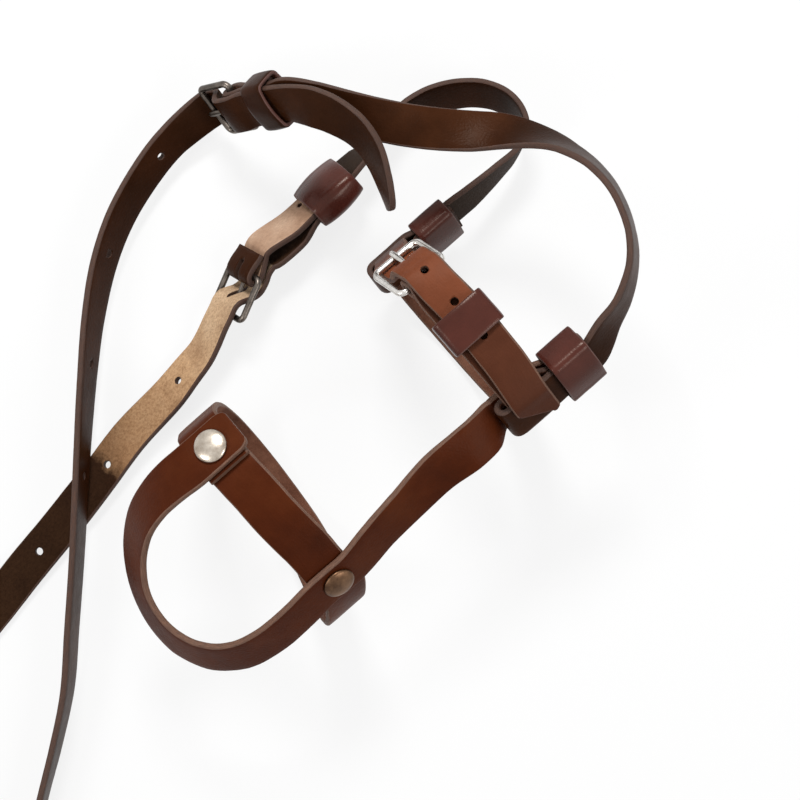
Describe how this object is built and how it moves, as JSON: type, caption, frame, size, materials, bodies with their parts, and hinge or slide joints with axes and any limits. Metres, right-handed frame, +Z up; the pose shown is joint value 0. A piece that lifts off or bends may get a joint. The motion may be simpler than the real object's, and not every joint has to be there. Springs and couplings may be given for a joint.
{
  "type": "crossbody cup holder",
  "caption": "Leather harness for a bottle: two belts joined by a riveted sling round the base, shoulder straps with buckles and sliding keepers, and a long strap to wear across the body.",
  "frame": {"origin": "middle of the bounding box, at the table that the holder lies on", "axes": "+X along the bottle to its mouth, which is the holder's long way; +Y towards the shoulder strap; +Z up from the table"},
  "size_m": [0.4155, 0.2017, 0.0957],
  "materials": {
    "strap_leather": "waxed, semi-gloss grain with a tan suede back and cut edges",
    "keeper_leather": "smooth, glossy",
    "nickel": "polished, lightly aged",
    "aged_bronze": "aged, dark satin",
    "black_metal": "blackened, semi-gloss"
  },
  "bodies": {
    "straps": {"left_strap": "strap_leather", "long_strap": "strap_leather", "lower_belt": "strap_leather", "right_strap": "strap_leather", "rivet_cap_left": "nickel", "rivet_cap_right": "aged_bronze", "rivet_washer_left": "nickel", "rivet_washer_right": "aged_bronze", "sling_strap": "strap_leather", "upper_belt": "strap_leather"},
    "upper_buckle_frame": {"upper_buckle_frame": "nickel"},
    "upper_buckle_tongue": {"upper_buckle_tongue": "nickel"},
    "right_buckle_frame": {"right_buckle_frame": "black_metal"},
    "right_buckle_tongue": {"right_buckle_tongue": "black_metal"},
    "left_buckle_frame": {"left_buckle_frame": "black_metal"},
    "left_buckle_tongue": {"left_buckle_tongue": "black_metal"},
    "upper_belt_keeper": {"upper_belt_keeper": "keeper_leather"},
    "right_loop_keeper": {"right_loop_keeper": "keeper_leather"},
    "left_loop_keeper": {"left_loop_keeper": "keeper_leather"},
    "right_buckle_keeper": {"right_buckle_keeper": "keeper_leather"},
    "left_buckle_keeper": {"left_buckle_keeper": "keeper_leather"}
  },
  "joints": [
    {"name": "upper_buckle_frame_hinge", "type": "hinge", "parent": "straps", "child": "upper_buckle_frame", "pos_m": [0.12728, -0.01901, 0.07961], "axis": [0.9787, -0.0094, -0.2051], "range_deg": [-1, 10]},
    {"name": "upper_buckle_tongue_hinge", "type": "hinge", "parent": "upper_buckle_frame", "child": "upper_buckle_tongue", "pos_m": [0.12728, -0.01901, 0.07961], "axis": [0.9787, -0.0094, -0.2051], "range_deg": [0, 8]},
    {"name": "right_buckle_frame_hinge", "type": "hinge", "parent": "straps", "child": "right_buckle_frame", "pos_m": [0.12088, 0.082, 0.0335], "axis": [0.0502, 0.884, 0.4649], "range_deg": [-1, 10]},
    {"name": "right_buckle_tongue_hinge", "type": "hinge", "parent": "right_buckle_frame", "child": "right_buckle_tongue", "pos_m": [0.12088, 0.082, 0.0335], "axis": [0.0502, 0.884, 0.4649], "range_deg": [0, 8]},
    {"name": "left_buckle_frame_hinge", "type": "hinge", "parent": "straps", "child": "left_buckle_frame", "pos_m": [0.07728, 0.0332, 0.0128], "axis": [0.2173, -0.6458, 0.732], "range_deg": [-1, 10]},
    {"name": "left_buckle_tongue_hinge", "type": "hinge", "parent": "left_buckle_frame", "child": "left_buckle_tongue", "pos_m": [0.07728, 0.0332, 0.0128], "axis": [0.2173, -0.6458, 0.732], "range_deg": [0, 8]},
    {"name": "upper_belt_keeper_slide", "type": "slide", "parent": "straps", "child": "upper_belt_keeper", "axis": [0, -1, 0], "range_m": [-0.0018, 0.003]},
    {"name": "right_loop_keeper_slide", "type": "slide", "parent": "straps", "child": "right_loop_keeper", "axis": [1, 0, 0], "range_m": [-0.001, 0.001]},
    {"name": "left_loop_keeper_slide", "type": "slide", "parent": "straps", "child": "left_loop_keeper", "axis": [1, 0, 0], "range_m": [-0.0005, 0.0035]},
    {"name": "right_buckle_keeper_slide", "type": "slide", "parent": "straps", "child": "right_buckle_keeper", "axis": [-0.501, 0.425, -0.7539], "range_m": [-0.0015, 0.003]},
    {"name": "left_buckle_keeper_slide", "type": "slide", "parent": "straps", "child": "left_buckle_keeper", "axis": [-0.9976, -0.0651, 0.0214], "range_m": [-0.002, 0.002]}
  ]
}
